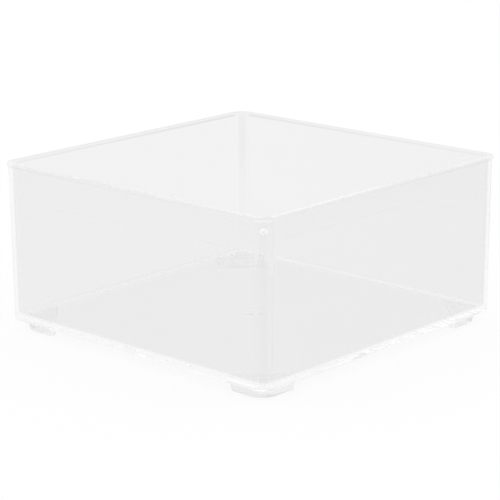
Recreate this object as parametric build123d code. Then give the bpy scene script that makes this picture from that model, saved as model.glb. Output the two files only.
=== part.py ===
from build123d import *
import math
import os

os.makedirs("parts", exist_ok=True)

# Open storage box of clear plastic: one square tub on four three-cornered feet.
# Millimetres. The origin is under the middle of the box, on the surface it stands on.
# X runs to the right and Y to the back, along the walls, and Z points up.

# Tub: overall sizes
rim_side = 152.0            # across the rim lip, both ways
tub_height = 70.0           # from the tub's underside to the top of the rim
wall = 2.3
floor_thickness = 2.3
corner_radius = 6.4         # outer radius of the upright corners, just under the lip
wall_lean = 0.5             # how far each wall leans in from the rim down to the base

# Tub: rim lip
lip_overhang = 0.7          # the lip stands this far out from the wall
lip_face = 0.9              # height of the lip's upright face
lip_slope_angle = 35.0      # from upright, where the lip's underside slopes back to the wall
rim_edge_radius = 0.5

# Tub: edges and marks
cavity_fillet = 1.8         # inside, between floor and walls
base_edge_radius = 0.8      # outside, between walls and underside
gate_diameter = 10.0        # round recess left by the moulding gate, under the floor
gate_depth = 0.5
mark_mouth = 2.6            # width of the small tapered pit inside one upright corner
mark_tip = 0.9              # its width at its end
mark_depth = 1.4
mark_drop = 5.8             # from the top of the rim down to the pit's middle

# Feet
foot_height = 4.5           # how far the feet hold the tub's underside off the table
foot_leg = 24.2             # along each wall, measured to the sharp corners of the triangle
foot_inset = 3.0            # from the tub's base edge to the foot
foot_heel_radius = 8.5      # the square corner, which follows the corner of the tub
foot_toe_radius = 2.8       # the two narrow corners
foot_taper = 1.1            # each side leans in by this much down to the ground
foot_edge_radius = 0.4

# Seats of the feet
seat_depth = 0.6            # recess under the floor that locates a foot
seat_clearance = 0.15       # around the foot, inside its recess
bond_gap = 0.1              # film that holds the foot, above it

# Cutting tools run past the face that they open by this much
overrun = 5.0

# Worked out from the sizes above
lip_slope = lip_overhang / math.tan(math.radians(lip_slope_angle))
wall_top_side = rim_side - 2 * lip_overhang
base_side = wall_top_side - 2 * wall_lean
base_radius = corner_radius - wall_lean
wall_height = tub_height - lip_face - lip_slope     # of the leaning outer face
lean_angle = math.degrees(math.atan(wall_lean / wall_height))
taper_angle = math.degrees(math.atan(foot_taper / foot_height))
tub_base = foot_height                              # height of the tub's underside
rim_top = tub_base + tub_height
floor_top = tub_base + floor_thickness


def spreading_block(side, radius, bottom, height, angle):
    """A square block with rounded corners whose sides lean out by an angle on the way up."""
    outline = Plane.XY.offset(bottom) * RectangleRounded(side, side, radius)
    return extrude(outline, amount=height, taper=-angle)


def edges_at(shape, height):
    """The edges of a shape that lie flat at one height."""
    return shape.edges().filter_by_position(Axis.Z, height, height)


def tub_outside():
    """The outside of the tub as one full block: base edge, leaning walls and rim lip."""
    body = spreading_block(base_side, base_radius, tub_base, wall_height, lean_angle)
    body = fillet(edges_at(body, tub_base), base_edge_radius)
    slope_base = tub_base + wall_height
    slope = spreading_block(wall_top_side, corner_radius, slope_base, lip_slope, lip_slope_angle)
    lip = spreading_block(rim_side, corner_radius + lip_overhang, rim_top - lip_face, lip_face, 0)
    return body + slope + lip


def tub_cavity():
    """The hollow of the tub, with its walls parallel to the outside and a fillet at the floor."""
    lean_at_floor = wall_lean * floor_thickness / wall_height
    side = base_side + 2 * lean_at_floor - 2 * wall
    radius = base_radius + lean_at_floor - wall
    hollow = spreading_block(side, radius, floor_top, tub_height, lean_angle)
    return fillet(edges_at(hollow, floor_top), cavity_fillet)


def foot_outline():
    """The foot's rounded triangle in plan, in the front left corner."""
    near = foot_inset - base_side / 2
    far = near + foot_leg
    radii = [foot_heel_radius, foot_toe_radius, foot_toe_radius]
    return make_face(FilletPolyline((near, near), (far, near), (near, far), radius=radii, close=True))


def foot_block():
    """One foot: a straight tongue that sits in its seat, over a body that tapers to the ground."""
    outline = Plane.XY.offset(tub_base) * foot_outline()
    tongue = extrude(outline, amount=seat_depth - bond_gap)
    body = extrude(outline, amount=-foot_height, taper=taper_angle)
    body = fillet(edges_at(body, 0), foot_edge_radius)
    return tongue + body


def seat_block():
    """The recess under the floor that one foot sits in."""
    opening = offset(foot_outline(), amount=seat_clearance, kind=Kind.ARC)
    return extrude(Plane.XY.offset(tub_base - overrun) * opening, amount=overrun + seat_depth)


def gate_block():
    """The round recess that the moulding gate leaves under the middle of the floor."""
    disc = Plane.XY.offset(tub_base - overrun) * Circle(gate_diameter / 2)
    return extrude(disc, amount=overrun + gate_depth)


def mark_pin():
    """The tapered pin that leaves the small round pit inside the front right corner."""
    lean_at_mark = wall_lean * (mark_drop - lip_face - lip_slope) / wall_height
    corner_centre = wall_top_side / 2 - corner_radius
    tip_reach = corner_radius - lean_at_mark - wall + mark_depth
    tip_place = corner_centre + tip_reach / math.sqrt(2)
    tip = Plane(origin=(tip_place, -tip_place, rim_top - mark_drop), z_dir=(-1, 1, 0))
    # the pin is twice as long as the pit is deep, so its thick end stands in the cavity
    thick_end = 2 * mark_mouth - mark_tip
    return tip * Cone(mark_tip / 2, thick_end / 2, 2 * mark_depth, align=(Align.CENTER, Align.CENTER, Align.MIN))


def make_tub():
    """The tub, with its cavity, the seats of the feet and the two moulding marks."""
    body = tub_outside() - tub_cavity()
    body = fillet(edges_at(body, rim_top), rim_edge_radius)
    body = body - gate_block() - mark_pin()
    for quarter in range(4):
        body = body - Rot(0, 0, 90 * quarter) * seat_block()
    return body


# The tub, then the feet, each named for the corner that it stands under
export_step(make_tub(), "parts/tub.step")

foot_names = ["foot_front_left", "foot_front_right", "foot_back_right", "foot_back_left"]
for quarter, name in enumerate(foot_names):
    foot = Rot(0, 0, 90 * quarter) * foot_block()
    export_step(foot, f"parts/{name}.step")
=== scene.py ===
import math

import bpy
from mathutils import Matrix, Vector


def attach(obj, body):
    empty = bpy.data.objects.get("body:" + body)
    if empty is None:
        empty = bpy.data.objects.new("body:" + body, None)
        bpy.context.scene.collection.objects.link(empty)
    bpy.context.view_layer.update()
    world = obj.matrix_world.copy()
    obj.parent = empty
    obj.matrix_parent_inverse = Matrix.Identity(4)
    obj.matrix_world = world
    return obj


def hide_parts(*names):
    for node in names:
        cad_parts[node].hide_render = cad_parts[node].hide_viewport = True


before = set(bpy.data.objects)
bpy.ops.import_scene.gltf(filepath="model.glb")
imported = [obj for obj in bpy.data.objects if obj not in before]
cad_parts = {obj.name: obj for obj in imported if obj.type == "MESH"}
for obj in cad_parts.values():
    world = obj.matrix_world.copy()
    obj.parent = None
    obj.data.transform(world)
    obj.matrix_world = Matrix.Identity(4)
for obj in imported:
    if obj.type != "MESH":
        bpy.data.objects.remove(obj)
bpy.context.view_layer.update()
mm = 0.001
quarterTurn = math.pi / 2
print("frame loaded:", sorted(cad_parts))


# Camera, at the photograph's viewing angle

viewSetup = {
    "azimuth": 42.506,          # degrees round from the front, towards +X
    "elevation": 15.231,
    "roll": -0.303,
    "distance": 842.2,
    "aimHeight": 41.99,
    "aimRight": -0.788,         # the aim point, off the middle of the box in the picture
    "aimUp": -8.0,
    "lens": 139.95,
    "sensor": 36.0,
    "clipNear": 10.0,
    "clipFar": 60000.0,
}


def makeCamera(setup):
    azimuth = math.radians(setup["azimuth"])
    elevation = math.radians(setup["elevation"])
    roll = math.radians(setup["roll"])
    forward = Vector((
        -math.sin(azimuth) * math.cos(elevation),
        math.cos(azimuth) * math.cos(elevation),
        -math.sin(elevation),
    ))
    right = Vector((math.cos(azimuth), math.sin(azimuth), 0.0))
    up = right.cross(forward)
    aim = Vector((0.0, 0.0, setup["aimHeight"])) + right * setup["aimRight"] + up * setup["aimUp"]
    place = (aim - forward * setup["distance"]) * mm
    turnedRight = right * math.cos(roll) + up * math.sin(roll)
    turnedUp = up * math.cos(roll) - right * math.sin(roll)
    turn = Matrix((turnedRight, turnedUp, -forward)).transposed().to_4x4()
    data = bpy.data.cameras.new("productCamera")
    data.sensor_width = setup["sensor"]
    data.lens = setup["lens"]
    data.clip_start = setup["clipNear"] * mm
    data.clip_end = setup["clipFar"] * mm
    camera = bpy.data.objects.new("productCamera", data)
    camera.matrix_world = Matrix.Translation(place) @ turn
    bpy.context.scene.collection.objects.link(camera)
    bpy.context.scene.camera = camera


makeCamera(viewSetup)
print("camera set")


# Node trees are written with sockets that add up like numbers

def plug(tree, socket, value):
    if isinstance(value, Size):
        value = value.socket
    if isinstance(value, bpy.types.NodeSocket):
        tree.links.new(value, socket)
    else:
        socket.default_value = value


def addNode(tree, kind, inputs=None, **settings):
    node = tree.nodes.new(kind)
    for name, value in settings.items():
        setattr(node, name, value)
    for name, value in (inputs or {}).items():
        plug(tree, node.inputs[name], value)
    return node


def output(tree, kind, inputs=None, which=0, **settings):
    return addNode(tree, kind, inputs, **settings).outputs[which]


def mathNode(tree, operation, first, second):
    return Size(tree, output(tree, "ShaderNodeMath", {0: first, 1: second}, operation=operation))


class Size:
    def __init__(self, tree, socket):
        self.tree = tree
        self.socket = socket

    def calc(self, operation, other=0.0):
        return mathNode(self.tree, operation, self, other)

    def __add__(self, other):
        return self.calc("ADD", other)

    def __radd__(self, other):
        return mathNode(self.tree, "ADD", other, self)

    def __sub__(self, other):
        return self.calc("SUBTRACT", other)

    def __rsub__(self, other):
        return mathNode(self.tree, "SUBTRACT", other, self)

    def __mul__(self, other):
        return self.calc("MULTIPLY", other)

    def __truediv__(self, other):
        return self.calc("DIVIDE", other)

    def __floordiv__(self, other):
        return (self / other).calc("FLOOR")

    def __mod__(self, other):
        return self.calc("MODULO", other)


def vector(tree, x, y, z):
    return output(tree, "ShaderNodeCombineXYZ", {"X": x, "Y": y, "Z": z})


def vectorParts(tree, value):
    return [Size(tree, part) for part in addNode(tree, "ShaderNodeSeparateXYZ", {0: value}).outputs]


def between(value, low, high):
    return value.calc("GREATER_THAN", low) * value.calc("LESS_THAN", high)


# Geometry Nodes helpers

mergeDistance = 0.001 * mm
pickSlack = 0.01 * mm           # a face is picked when its middle lies this far inside a band


def pick(tree, index, values, dataType):
    # the value whose place in the list is the index
    node = tree.nodes.new("GeometryNodeIndexSwitch")
    node.data_type = dataType
    while len(node.index_switch_items) < len(values):
        node.index_switch_items.new()
    plug(tree, node.inputs["Index"], index)
    for place, value in enumerate(values):
        plug(tree, node.inputs[place + 1], value)
    return node.outputs[0]


def newTree(name, sizeNames):
    # a tree with an input for each name, and what these inputs put out
    tree = bpy.data.node_groups.new(name, "GeometryNodeTree")
    tree.is_modifier = True
    tree.interface.new_socket("Geometry", in_out="OUTPUT", socket_type="NodeSocketGeometry")
    for sizeName in sizeNames:
        tree.interface.new_socket(sizeName, in_out="INPUT", socket_type="NodeSocketFloat")
    source = tree.nodes.new("NodeGroupInput")
    return tree, {sizeName: Size(tree, source.outputs[sizeName]) for sizeName in sizeNames}


def filletedLine(tree, points, arcSteps):
    # an open line through the points, each (x, y, z, fillet radius)
    index = output(tree, "GeometryNodeInputIndex")
    placed = output(tree, "GeometryNodeSetPosition", {
        "Geometry": output(tree, "GeometryNodeMeshLine", {"Count": len(points)}),
        "Position": pick(tree, index, [vector(tree, *point[:3]) for point in points], "VECTOR"),
    })
    return output(tree, "GeometryNodeFilletCurve", {
        "Curve": output(tree, "GeometryNodeMeshToCurve", {"Mesh": placed}),
        "Count": arcSteps,
        "Radius": pick(tree, index, [point[3] for point in points], "FLOAT"),
        "Limit Radius": True,
    }, mode="POLY")


def roundedShell(tree, profile, corners, middle, steps):
    # Sweeps a profile round a plan with round corners.
    # A profile point is (radius added to each corner's, share of the way out from the middle, height).
    # A corner is (x, y, radius, start angle, turn), and its arc is cut in equal steps.
    index = Size(tree, output(tree, "GeometryNodeInputIndex"))
    columns = steps + 1
    rows = Size(tree, output(
        tree, "GeometryNodeAttributeDomainSize", {"Geometry": profile}, "Point Count", component="CURVE",
    ))
    grid = output(tree, "GeometryNodeMeshGrid", {
        "Vertices X": columns * len(corners) + 1, "Vertices Y": rows,
    })
    column = index // rows
    cornerIndex = (column // columns) % len(corners)
    arcShare = (column % columns) / steps
    grown, share, height = vectorParts(tree, output(tree, "GeometryNodeSampleIndex", {
        "Geometry": profile,
        "Value": output(tree, "GeometryNodeInputPosition"),
        "Index": index % rows,
    }, data_type="FLOAT_VECTOR", domain="POINT"))
    cornerX, cornerY, radius, start, turn = [
        Size(tree, pick(tree, cornerIndex, list(values), "FLOAT")) for values in zip(*corners)
    ]
    angle = start + turn * arcShare
    reach = radius + grown
    x = middle[0] + (cornerX + reach * angle.calc("COSINE") - middle[0]) * share
    y = middle[1] + (cornerY + reach * angle.calc("SINE") - middle[1]) * share
    placed = output(tree, "GeometryNodeSetPosition", {
        "Geometry": grid, "Position": vector(tree, x, y, height),
    })
    return output(tree, "GeometryNodeMergeByDistance", {"Geometry": placed, "Distance": mergeDistance})


def moved(tree, geometry, place, turn):
    return output(tree, "GeometryNodeTransform", {
        "Geometry": geometry, "Translation": place, "Rotation": turn,
    })


def quarterCopies(tree, geometry):
    # four copies, a quarter turn apart round the middle of the box
    index = Size(tree, output(tree, "GeometryNodeInputIndex"))
    copies = output(tree, "GeometryNodeInstanceOnPoints", {
        "Points": output(tree, "GeometryNodeMeshLine", {"Count": 4, "Offset": (0.0, 0.0, 0.0)}),
        "Instance": geometry,
        "Rotation": vector(tree, 0.0, 0.0, index * quarterTurn),
    })
    return output(tree, "GeometryNodeRealizeInstances", {"Geometry": copies})


def facePlace(tree):
    # the middle of each face, as three sizes
    place = output(tree, "GeometryNodeInputPosition")
    return vectorParts(tree, output(
        tree, "GeometryNodeFieldOnDomain", {"Value": place}, data_type="FLOAT_VECTOR", domain="FACE",
    ))


def finishTree(tree, geometry, material, sharpAngle, bondMaterial, bondFaces):
    # smooth all over, with the edges sharper than the angle kept crisp
    smooth = output(tree, "GeometryNodeSetShadeSmooth", {"Geometry": geometry}, domain="FACE")
    angle = Size(tree, output(tree, "GeometryNodeInputMeshEdgeAngle"))
    crisp = output(tree, "GeometryNodeSetShadeSmooth", {
        "Geometry": smooth,
        "Selection": angle.calc("GREATER_THAN", math.radians(sharpAngle)),
        "Shade Smooth": False,
    }, domain="EDGE")
    real = output(tree, "GeometryNodeRealizeInstances", {"Geometry": crisp})
    dressed = output(tree, "GeometryNodeSetMaterial", {"Geometry": real, "Material": material})
    bonded = output(tree, "GeometryNodeSetMaterial", {
        "Geometry": dressed, "Selection": bondFaces, "Material": bondMaterial,
    })
    tree.links.new(bonded, tree.nodes.new("NodeGroupOutput").inputs[0])


def growPiece(name, tree, inputs):
    # runs a tree with its inputs set, and keeps the result as a plain mesh
    seed = bpy.data.objects.new(name + "Seed", bpy.data.meshes.new(name + "Seed"))
    bpy.context.scene.collection.objects.link(seed)
    modifier = seed.modifiers.new("shape", "NODES")
    modifier.node_group = tree
    for item in tree.interface.items_tree:
        if item.in_out == "INPUT":
            modifier[item.identifier] = float(inputs[item.name])
    # the flat faces keep their own normals, and the fillets bend between them
    weighted = seed.modifiers.new("flatsFirst", "WEIGHTED_NORMAL")
    weighted.keep_sharp = True
    weighted.weight = 100
    bpy.context.view_layer.update()
    evaluated = seed.evaluated_get(bpy.context.evaluated_depsgraph_get())
    mesh = bpy.data.meshes.new_from_object(evaluated)
    mesh.name = name
    bpy.data.objects.remove(seed)
    piece = bpy.data.objects.new(name, mesh)
    bpy.context.scene.collection.objects.link(piece)
    print(name, "has", len(mesh.polygons), "faces")
    return piece


def inMetres(sizes):
    return {name: value * mm for name, value in sizes.items()}


# Clear plastic, polished, with the faint flow and haze of a moulding

plasticLook = {
    "ior": 1.49,
    "tint": (0.957, 0.957, 0.957, 1.0),
    "tintDeep": (0.948, 0.949, 0.949, 1.0),
    "cloudScale": 40.0,
    "cloudDetail": 3.0,
    "cloudRoughness": 0.5,
    "roughnessLow": 0.0,
    "roughnessHigh": 0.02,
    "flowScale": 60.0,
    "flowDetail": 1.0,
    "flowRoughness": 0.4,
    "flowStrength": 0.2,
    "flowDepth": 0.02,
}
# the feet have satin outward sides with painted shade on them, and a clearer body
footLook = {
    **plasticLook,
    "tint": (0.99, 0.99, 0.99, 1.0),
    "tintDeep": (0.985, 0.986, 0.986, 1.0),
    "roughnessHigh": 0.04,
    # painted shade on the outward sides, for light that comes in through them from outside
    "sidePaintedShade": (0.89, 0.89, 0.89, 1.0),
    "sideRoughness": 0.1,
    "sideStart": 0.2,           # how far a face looks out from the middle of the box, from 0 to 1, where the satin and its painted shade start and where they are full
    "sideFull": 0.5,            # where the satin starts and where it is full
}


def newMaterial(name, values):
    # a material whose shader has these values on its own sockets
    material = bpy.data.materials.new(name)
    material.use_nodes = True
    shader = material.node_tree.nodes["Principled BSDF"]
    for socketName, value in values.items():
        shader.inputs[socketName].default_value = value
    return material, material.node_tree, shader


def mixColours(tree, share, first, second):
    # a Mix node set to colours takes them at inputs 6 and 7, and gives one at output 2
    return output(tree, "ShaderNodeMix", {0: share, 6: first, 7: second}, 2, data_type="RGBA")


def outwardSides(tree, place, look):
    # the share of satin on the outward sides, and the part of it that is met from outside, which gets
    # painted shade
    wayOut = output(tree, "ShaderNodeVectorMath", {0: place, 1: (1.0, 1.0, 0.0)}, operation="MULTIPLY")
    wayOut = output(tree, "ShaderNodeVectorMath", {0: wayOut}, operation="NORMALIZE")
    normal = output(tree, "ShaderNodeTexCoord", which="Normal")
    facing = Size(tree, output(
        tree, "ShaderNodeVectorMath", {0: wayOut, 1: normal}, 1, operation="DOT_PRODUCT",
    ))
    inside = Size(tree, output(tree, "ShaderNodeNewGeometry", which="Backfacing"))
    isOutward = (facing * (1.0 - inside * 2.0)).calc("GREATER_THAN", 0.0)
    side = Size(tree, output(tree, "ShaderNodeMapRange", {
        "Value": facing.calc("ABSOLUTE"), "From Min": look["sideStart"], "From Max": look["sideFull"],
    })) * isOutward
    return side, side * (1.0 - inside)


def clearPlastic(name, look):
    material, tree, shader = newMaterial(name, {"IOR": look["ior"], "Transmission Weight": 1.0})
    place = output(tree, "ShaderNodeTexCoord", which="Object")
    cloud = output(tree, "ShaderNodeTexNoise", {
        "Vector": place, "Scale": look["cloudScale"],
        "Detail": look["cloudDetail"], "Roughness": look["cloudRoughness"],
    })
    colour = mixColours(tree, cloud, look["tint"], look["tintDeep"])
    roughness = Size(tree, output(tree, "ShaderNodeMapRange", {
        "Value": cloud, "To Min": look["roughnessLow"], "To Max": look["roughnessHigh"],
    }))
    if "sidePaintedShade" in look:
        # painted shade greys the light that comes in through the satin sides from outside
        side, paintedShadeShare = outwardSides(tree, place, look)
        colour = mixColours(tree, paintedShadeShare, colour, look["sidePaintedShade"])
        roughness = roughness + side * look["sideRoughness"]
    plug(tree, shader.inputs["Base Color"], colour)
    plug(tree, shader.inputs["Roughness"], roughness)
    flow = output(tree, "ShaderNodeTexNoise", {
        "Vector": place, "Scale": look["flowScale"],
        "Detail": look["flowDetail"], "Roughness": look["flowRoughness"],
    })
    plug(tree, shader.inputs["Normal"], output(tree, "ShaderNodeBump", {
        "Height": flow, "Strength": look["flowStrength"], "Distance": look["flowDepth"] * mm,
    }))
    return material


tubPlastic = clearPlastic("clearTubPlastic", plasticLook)
footPlastic = clearPlastic("clearFootPlastic", footLook)
# the film between a foot and its seat lets light go straight on
bondFilm = newMaterial("clearBondFilm", {
    "Base Color": (1.0, 1.0, 1.0, 1.0), "Roughness": 0.0, "IOR": 1.0, "Transmission Weight": 1.0,
})[0]
print("materials made")


# The feet, whose plan the seats under the floor follow

footSetup = {
    # the tub takes these too, for the seats
    "shared": {
        "baseSide": 149.6,      # of the tub, across its underside
        "inset": 3.0,
        "leg": 24.2,            # along each wall, to the sharp corners of the triangle
        "heelRadius": 8.5,
        "toeRadius": 2.8,
        "footHeight": 4.5,
    },
    "lengths": {
        "taper": 1.1,
        "groundEdge": 0.4,
        "tongue": 0.5,          # how far the foot reaches up into its seat
    },
    "edgeSteps": 6,
    "cornerSteps": 12,
    "flatStart": 2.0,           # the underside's flat starts this many edge radii in
    "sharpAngle": 25.0,         # degrees, from which an edge is shaded crisp
}


def footPlan(size, clearance):
    # the corners of the rounded triangle in the front left corner, and its middle
    near = size["inset"] - size["baseSide"] / 2 - clearance
    leg = size["leg"] + clearance * (2 + math.sqrt(2))
    far = near + leg
    heelRadius = size["heelRadius"] + clearance
    toeRadius = size["toeRadius"] + clearance
    toeBack = toeRadius * (1 + math.sqrt(2))        # from a sharp toe back to its centre, along the wall
    heel = near + heelRadius
    toeTurn = quarterTurn * 1.5
    corners = [
        (heel, heel, heelRadius, quarterTurn * 2, quarterTurn),
        (far - toeBack, near + toeRadius, toeRadius, quarterTurn * 3, toeTurn),
        (near + toeRadius, far - toeBack, toeRadius, quarterTurn / 2, toeTurn),
    ]
    middle = near + leg / 3
    return corners, (middle, middle)


def makeFeet(setup, material, bondMaterial):
    lengths = {**setup["shared"], **setup["lengths"]}
    tree, size = newTree("taperedFoot", [*lengths, "turn"])
    corners, middle = footPlan(size, 0.0)
    taper = size["taper"] * -1.0
    shoulder = size["footHeight"]
    top = shoulder + size["tongue"]
    profile = filletedLine(tree, [
        (0.0, 0.0, 0.0, 0.0),
        (taper - size["groundEdge"] * setup["flatStart"], 1.0, 0.0, 0.0),
        (taper, 1.0, 0.0, size["groundEdge"]),
        (0.0, 1.0, shoulder, 0.0),
        (0.0, 1.0, top, 0.0),
        (0.0, 0.0, top, 0.0),
    ], setup["edgeSteps"])
    foot = roundedShell(tree, profile, corners, middle, setup["cornerSteps"])
    turned = moved(tree, foot, (0.0, 0.0, 0.0), vector(tree, 0.0, 0.0, size["turn"] * quarterTurn))
    height = facePlace(tree)[2]
    tongueFaces = between(height, shoulder + pickSlack, top - pickSlack)
    finishTree(tree, turned, material, setup["sharpAngle"], bondMaterial, tongueFaces)
    names = ["footFrontLeft", "footFrontRight", "footBackRight", "footBackLeft"]
    return [
        growPiece(name, tree, {**inMetres(lengths), "turn": quarter})
        for quarter, name in enumerate(names)
    ]


# The tub: one wall profile, swept round the square and closed over the floor and the underside

tubSetup = {
    "lengths": {
        "rimSide": 152.0,
        "tubHeight": 70.0,
        "wall": 2.3,
        "floorThickness": 2.3,
        "cornerRadius": 6.4,    # of the upright corners, just under the lip
        "wallLean": 0.5,
        "lipOverhang": 0.7,
        "lipFace": 0.9,
        "lipSlope": 1.0,
        "rimEdge": 0.5,
        "lipEdge": 0.15,
        "cavityFillet": 1.8,
        "baseEdge": 0.8,
        "gateRadius": 5.0,
        "gateDepth": 0.5,
        "seatDepth": 0.6,
        "seatClearance": 0.15,  # round a foot
        "markMouth": 1.3,       # radius of the tapered pit inside the front right corner,
        "markTip": 0.45,        # and of its end
        "markDepth": 1.4,
        "markDrop": 5.8,        # from the top of the rim
    },
    "edgeSteps": 8,
    "cornerSteps": 28,
    "seatEdgeSteps": 1,
    "gateSides": 96,
    "pitSides": 64,
    "flatStart": 2.0,           # the underside's flat starts this many edge radii in,
    "floorStart": 1.1,          # and the floor's flat this many fillets in
    "sharpAngle": 18.0,
}


def tubLevels(size):
    # heights from the ground up, and how far the walls lean from the underside up to the floor,
    # from the foot of the lip's slope up to the rim, and from there down to the mark
    underside = size["footHeight"]
    rimTop = underside + size["tubHeight"]
    slopeTop = rimTop - size["lipFace"]
    slopeBase = slopeTop - size["lipSlope"]
    wallHeight = slopeBase - underside
    lean = size["wallLean"]
    return {
        "underside": underside,
        "floorTop": underside + size["floorThickness"],
        "slopeBase": slopeBase,
        "slopeTop": slopeTop,
        "rimTop": rimTop,
        "leanAtFloor": lean * size["floorThickness"] / wallHeight,
        "leanAtRim": lean * (rimTop - slopeBase) / wallHeight,
        "leanAtMark": lean * (size["markDrop"] - size["lipFace"] - size["lipSlope"]) / wallHeight,
    }


def tubWalls(tree, size, level, setup):
    lean = size["wallLean"]
    overhang = size["lipOverhang"]
    # the inner wall runs parallel to the outer one, and leans on by as much above the slope
    innerAtFloor = level["leanAtFloor"] - lean - size["wall"]
    innerAtRim = level["leanAtRim"] - size["wall"]
    underside, floorTop, rimTop = level["underside"], level["floorTop"], level["rimTop"]
    profile = filletedLine(tree, [
        (0.0, 0.0, underside, 0.0),
        (size["baseEdge"] * -setup["flatStart"] - lean, 1.0, underside, 0.0),
        (lean * -1.0, 1.0, underside, size["baseEdge"]),
        (0.0, 1.0, level["slopeBase"], size["lipEdge"]),
        (overhang, 1.0, level["slopeTop"], size["lipEdge"]),
        (overhang, 1.0, rimTop, size["rimEdge"]),
        (innerAtRim, 1.0, rimTop, size["rimEdge"]),
        (innerAtFloor, 1.0, floorTop, size["cavityFillet"]),
        (innerAtFloor - size["cavityFillet"] * setup["floorStart"], 1.0, floorTop, 0.0),
        (0.0, 0.0, floorTop, 0.0),
    ], setup["edgeSteps"])
    centre = cornerCentre(size)
    negative = centre * -1.0
    centres = [(centre, centre), (negative, centre), (negative, negative), (centre, negative)]
    return roundedShell(tree, profile, [
        (x, y, size["cornerRadius"], quarterTurn * quarter, quarterTurn)
        for quarter, (x, y) in enumerate(centres)
    ], (0.0, 0.0), setup["cornerSteps"])


def cornerCentre(size):
    # from the middle of the box to the centre of an upright corner, along a wall
    return size["rimSide"] / 2 - size["lipOverhang"] - size["cornerRadius"]


def seatTools(tree, size, level, edgeSteps, cornerSteps):
    corners, middle = footPlan(size, size["seatClearance"])
    bottom = level["underside"] - size["seatDepth"]
    ceiling = level["underside"] + size["seatDepth"]
    profile = filletedLine(tree, [
        (0.0, 0.0, bottom, 0.0),
        (0.0, 1.0, bottom, 0.0),
        (0.0, 1.0, ceiling, 0.0),
        (0.0, 0.0, ceiling, 0.0),
    ], edgeSteps)
    return quarterCopies(tree, roundedShell(tree, profile, corners, middle, cornerSteps))


def gateTool(tree, size, level, sides):
    # it is twice as high as the recess is deep, and stands half below the underside
    disc = output(tree, "GeometryNodeMeshCylinder", {
        "Vertices": sides, "Radius": size["gateRadius"], "Depth": size["gateDepth"] * 2.0,
    })
    return moved(tree, disc, vector(tree, 0.0, 0.0, level["underside"]), (0.0, 0.0, 0.0))


def pitTool(tree, size, level, sides):
    # it is twice as long as the pit is deep, and its thick end stands in the cavity
    pin = output(tree, "GeometryNodeMeshCone", {
        "Vertices": sides, "Radius Bottom": size["markMouth"] * 2.0 - size["markTip"],
        "Radius Top": size["markTip"], "Depth": size["markDepth"] * 2.0,
    })
    mouthReach = size["cornerRadius"] - level["leanAtMark"] - size["wall"] - size["markDepth"]
    offCentre = cornerCentre(size) + mouthReach * math.sqrt(0.5)
    place = vector(tree, offCentre, offCentre * -1.0, level["rimTop"] - size["markDrop"])
    return moved(tree, pin, place, (quarterTurn, 0.0, quarterTurn / 2))


def seatFaces(tree, size, level):
    # the upright faces of the seats, and no face of the gate or of the outside
    x, y, z = facePlace(tree)
    reach = size["baseSide"] / 2 - size["baseEdge"] * 2.0
    gateReach = size["gateRadius"] * 2.0
    ceiling = level["underside"] + size["seatDepth"]
    return (
        between(z, level["underside"] + pickSlack, ceiling - pickSlack)
        * between(x, reach * -1.0, reach) * between(y, reach * -1.0, reach)
        * (x * x + y * y).calc("GREATER_THAN", gateReach * gateReach)
    )


def makeTub(setup, foot, material, bondMaterial):
    lengths = {**foot["shared"], **setup["lengths"]}
    tree, size = newTree("tubShell", lengths)
    level = tubLevels(size)
    cut = addNode(tree, "GeometryNodeMeshBoolean", operation="DIFFERENCE", solver="EXACT")
    tree.links.new(tubWalls(tree, size, level, setup), cut.inputs["Mesh 1"])
    for tool in (
        seatTools(tree, size, level, setup["seatEdgeSteps"], foot["cornerSteps"]),
        gateTool(tree, size, level, setup["gateSides"]),
        pitTool(tree, size, level, setup["pitSides"]),
    ):
        tree.links.new(tool, cut.inputs["Mesh 2"])
    bondFaces = seatFaces(tree, size, level)
    finishTree(tree, cut.outputs[0], material, setup["sharpAngle"], bondMaterial, bondFaces)
    return growPiece("tubShell", tree, inMetres(lengths))


tub = makeTub(tubSetup, footSetup, tubPlastic, bondFilm)
feet = makeFeet(footSetup, footPlastic, bondFilm)

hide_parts("tub")
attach(tub, "root")
footNodes = ["foot_front_left", "foot_front_right", "foot_back_right", "foot_back_left"]
for foot, node in zip(feet, footNodes):
    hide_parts(node)
    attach(foot, "root")
print("box built")


# Pale floor

floorSetup = {
    "half": 6000.0,             # of its side
    "drop": 0.05,               # keeps the floor clear of the undersides of the feet
    "tone": 0.93,
    "glow": 0.92,               # share of plain white that the camera sees in the floor
}


def isBentRay(tree, path):
    # 1 for light that reaches the eye through the plastic or off it
    return Size(tree, path["Is Transmission Ray"]).calc("MAXIMUM", path["Is Glossy Ray"])


def makeFloor(setup):
    half = setup["half"] * mm
    drop = -setup["drop"] * mm
    mesh = bpy.data.meshes.new("paleFloor")
    mesh.from_pydata(
        [(-half, -half, drop), (half, -half, drop), (half, half, drop), (-half, half, drop)],
        [], [(0, 1, 2, 3)],
    )
    floor = bpy.data.objects.new("paleFloor", mesh)
    bpy.context.scene.collection.objects.link(floor)
    tone = setup["tone"]
    material, tree, shader = newMaterial("palePaper", {
        "Base Color": (tone, tone, tone, 1.0), "Roughness": 1.0, "Specular IOR Level": 0.0,
    })
    path = addNode(tree, "ShaderNodeLightPath").outputs
    share = setup["glow"]
    # as strong as it takes to bring open paper up to plain white
    white = output(tree, "ShaderNodeEmission", {"Strength": (1.0 - (1.0 - share) * tone) / share})
    # the camera sees paper that is mostly plain white, and the plastic shows the studio beyond it
    seen = output(tree, "ShaderNodeMixShader", {
        0: Size(tree, path["Is Camera Ray"]) * share, 1: shader.outputs[0], 2: white,
    })
    mixed = output(tree, "ShaderNodeMixShader", {
        0: isBentRay(tree, path), 1: seen, 2: output(tree, "ShaderNodeBsdfTransparent"),
    })
    tree.links.new(mixed, tree.nodes["Material Output"].inputs["Surface"])
    mesh.materials.append(material)


# Studio light: plain on every surface, and toned only where it is seen by way of the plastic

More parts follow.
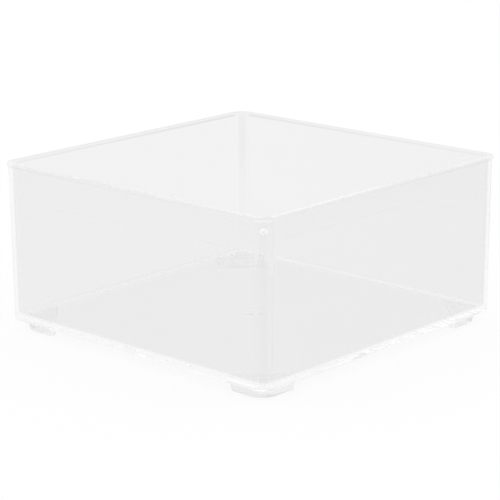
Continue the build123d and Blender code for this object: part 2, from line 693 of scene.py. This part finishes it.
skySetup = {
    "tones": {
        "open": 1.0,
        "through": 0.941,           # what the clear plastic shows straight through it,
        "throughHigh": 0.74,        # upwards through its rounded and sloping edges,
        "throughDown": 0.925,       # and steeply down through them
        "mirrorBehind": 0.80,       # plain reflections, low down: behind the box,
        "mirrorSides": 0.86,        # to its sides,
        "mirrorFront": 0.75,        # and towards the camera
        "mirrorHigh": 0.82,
        "innerBehind": 1.01,        # reflections inside the plastic, low down: straight behind,
        "innerSquare": 0.97,        # square to the walls,
        "innerSides": 0.90,         # to the sides,
        "innerFront": 0.30,         # and a dark card that stands low in front of the box
        "innerHorizon": 0.88,
        "innerTop": 0.84,
        "innerDown": 0.97,
        "edgeGlow": 0.985,          # light led along inside the plastic, which comes out at its edges,
        "edgeGlowLeft": 1.12,       # up to the left,
        "edgeGlowBackRight": 1.09,  # low behind the box to the right,
        "edgeGlowBackLeft": 0.86,   # low behind it to the left,
        "edgeGlowDown": 0.86,       # and steeply down
        "sideTilt": 0.105,          # how much darker the studio is to the right
    },
    # where a tone starts and stops changing
    "spans": {
        "high": (-0.06, 0.06),          # in height, from -1 straight down to 1 straight up
        "down": (-0.75, -0.45),
        "throughHigh": (0.1, 0.35),
        "innerTop": (0.35, 0.75),
        "cardBottom": (-0.42, -0.34),
        "cardTop": (-0.18, -0.1),
        "mirrorBehind": (0.0, 1.0),     # in bearing, from -1 in front of the box to 1 behind it
        "mirrorFront": (-1.0, 0.0),
        "innerSquare": (0.0, 0.7),
        "innerBehind": (0.7, 1.0),
        "card": (-0.9, -0.6),
        "glowBehind": (0.3, 0.6),
        "glowLeft": (-1.0, 0.0),        # in how far the direction points to the right
        "glowSides": (-0.2, 0.2),
        "sideTilt": (0.05, 1.45),
    },
    # how often the light passes through a surface or turns, set between whole numbers
    "limits": {
        "noPass": 0.5,
        "cardPasses": 4.5,
        "noTurn": 0.5,
        "oneTurn": 1.5,
    },
    "leastLevel": 0.000001,             # keeps straight up and down clear of a division by nought
}


def ramp(value, span, start=0.0, end=1.0, kind="SMOOTHSTEP"):
    return Size(value.tree, output(value.tree, "ShaderNodeMapRange", {
        "Value": value, "From Min": span[0], "From Max": span[1], "To Min": start, "To Max": end,
    }, interpolation_type=kind))


def blend(first, second, share):
    return first + share * (second - first)


def switched(isOn, on, off):
    return isOn * on + (1.0 - isOn) * off


def mirrorTone(tones, spans, bearing, high):
    sides = tones["mirrorSides"]
    low = (
        sides
        + ramp(bearing, spans["mirrorBehind"], 0.0, tones["mirrorBehind"] - sides)
        + ramp(bearing, spans["mirrorFront"], tones["mirrorFront"] - sides, 0.0)
    )
    return blend(low, tones["mirrorHigh"], high)


def throughTone(tones, spans, height, down):
    low = blend(tones["through"], tones["throughDown"], down)
    return blend(low, tones["throughHigh"], ramp(height, spans["throughHigh"]))


def innerTone(tones, spans, height, bearing, high, down, showsCard):
    sides, square = tones["innerSides"], tones["innerSquare"]
    low = (
        sides
        + ramp(bearing.calc("ABSOLUTE"), spans["innerSquare"], 0.0, square - sides)
        + ramp(bearing, spans["innerBehind"], 0.0, tones["innerBehind"] - square)
    )
    card = showsCard * ramp(bearing, spans["card"], 1.0, 0.0)
    card = card * ramp(height, spans["cardBottom"]) * ramp(height, spans["cardTop"], 1.0, 0.0)
    low = blend(low, tones["innerFront"], card)
    low = blend(low, tones["innerDown"], down)
    overhead = ramp(height, spans["innerTop"], tones["innerHorizon"], tones["innerTop"])
    return blend(low, overhead, high)


def edgeTone(tones, spans, bearing, rightward, high, down):
    glow = tones["edgeGlow"]
    left = ramp(rightward, spans["glowLeft"], tones["edgeGlowLeft"] - glow, 0.0)
    sides = ramp(
        rightward, spans["glowSides"], tones["edgeGlowBackLeft"] - glow, tones["edgeGlowBackRight"] - glow,
    )
    level = (1.0 - high) * (1.0 - down)
    tone = glow + high * left + level * sides * ramp(bearing, spans["glowBehind"])
    return tone + down * (tones["edgeGlowDown"] - glow)


def makeSky(setup):
    world = bpy.data.worlds.new("studio")
    bpy.context.scene.world = world
    world.use_nodes = True
    tree = world.node_tree
    tones, spans, limits = setup["tones"], setup["spans"], setup["limits"]
    x, y, height = vectorParts(tree, output(tree, "ShaderNodeTexCoord", which="Generated"))
    rightward = x + y
    level = x * x + y * y + setup["leastLevel"]
    bearing = (y - x) * math.sqrt(0.5) / level.calc("POWER", 0.5)
    high = ramp(height, spans["high"])
    down = ramp(height, spans["down"], 1.0, 0.0)
    tilt = 1.0 - ramp(rightward, spans["sideTilt"], 0.0, tones["sideTilt"], "LINEAR")

    path = addNode(tree, "ShaderNodeLightPath").outputs
    turns = Size(tree, path["Glossy Depth"])
    passes = Size(tree, path["Transmission Depth"])
    isMirror = passes.calc("LESS_THAN", limits["noPass"])
    showsCard = passes.calc("LESS_THAN", limits["cardPasses"])
    isThrough = turns.calc("LESS_THAN", limits["noTurn"])
    isLed = turns.calc("GREATER_THAN", limits["oneTurn"])
    bent = innerTone(tones, spans, height, bearing, high, down, showsCard)
    bent = switched(isThrough, throughTone(tones, spans, height, down) * tilt, bent)
    bent = switched(isMirror, mirrorTone(tones, spans, bearing, high) * tilt, bent)
    bent = switched(isLed, edgeTone(tones, spans, bearing, rightward, high, down), bent)
    sky = tree.nodes["Background"]
    sky.inputs["Color"].default_value = (1.0, 1.0, 1.0, 1.0)
    plug(tree, sky.inputs["Strength"], switched(isBentRay(tree, path), bent, tones["open"]))


makeFloor(floorSetup)
makeSky(skySetup)
print("floor and light made")


# Light passes many surfaces in clear plastic before it gets out

mostBounces = 256
scene = bpy.context.scene
scene.view_settings.view_transform = "Standard"
scene.cycles.max_bounces = mostBounces
scene.cycles.transmission_bounces = mostBounces
scene.cycles.glossy_bounces = mostBounces
scene.cycles.transparent_max_bounces = mostBounces
